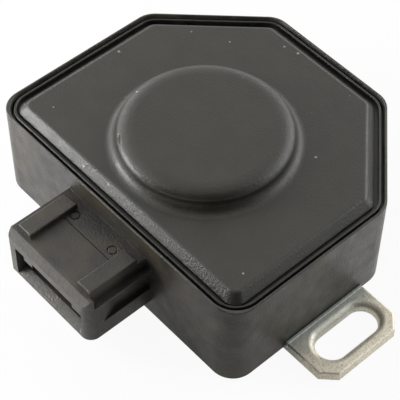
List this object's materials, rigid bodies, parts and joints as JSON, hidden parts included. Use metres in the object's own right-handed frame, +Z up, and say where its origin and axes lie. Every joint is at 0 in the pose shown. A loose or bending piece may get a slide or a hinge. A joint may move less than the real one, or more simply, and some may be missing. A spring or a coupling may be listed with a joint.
{
  "type": "throttle position sensor",
  "caption": "Six-sided moulded throttle position sensor with a domed cover, slotted mounting ears, a side plug socket and a sprung rotor that the throttle shaft turns.",
  "frame": {"origin": "on the rotor axis, at the mounting face", "axes": "+X along the mounting plate from ear to ear, -Y out of the plug socket, +Z up through the cover along the rotor axis"},
  "size_m": [0.0808, 0.0643, 0.0231],
  "materials": {
    "housing_plastic": "moulded, faint mottle",
    "cover_plastic": "moulded, satin",
    "sealant": "cured bead, semi-gloss",
    "zinc_steel": "yellow-passivated zinc plate",
    "bronze": "sintered, oiled",
    "rubber": "matte",
    "slip_plastic": "smooth",
    "spring_steel": "bright drawn",
    "rotor_plastic": "moulded, natural colour",
    "contact_bronze": "bright strip",
    "card_laminate": "resin-bonded card",
    "silver_track": "printed silver ink",
    "carbon_track": "printed carbon ink",
    "screw_steel": "zinc plated",
    "tinned_brass": "tin plated",
    "solder": "bright",
    "resin": "cast"
  },
  "bodies": {
    "case": {"housing": "housing_plastic", "mounting_plate": "zinc_steel", "bearing_bush": "bronze", "shaft_seal": "rubber", "thrust_washer": "slip_plastic", "track_card": "card_laminate", "collector_track": "silver_track", "resistor_track": "carbon_track", "card_screws": "screw_steel", "solder_joints": "solder", "terminal_potting": "resin", "terminal_left": "tinned_brass", "terminal_centre": "tinned_brass", "terminal_right": "tinned_brass", "cover": "cover_plastic", "cover_seal": "sealant", "return_spring": "spring_steel"},
    "rotor": {"rotor": "rotor_plastic", "drive_clip": "spring_steel", "retaining_ring": "spring_steel", "wiper_carrier": "rotor_plastic", "brush_rivets": "tinned_brass", "collector_brush": "contact_bronze", "resistor_brush": "contact_bronze"}
  },
  "joints": [
    {"name": "rotor_turn", "type": "hinge", "parent": "case", "child": "rotor", "pos_m": [0, 0, 0], "axis": [0, 0, 1], "range_deg": [0, 95], "stiffness_Nm_per_rad": 0.02, "springref_deg": -28.65, "deforming": ["return_spring"]}
  ]
}
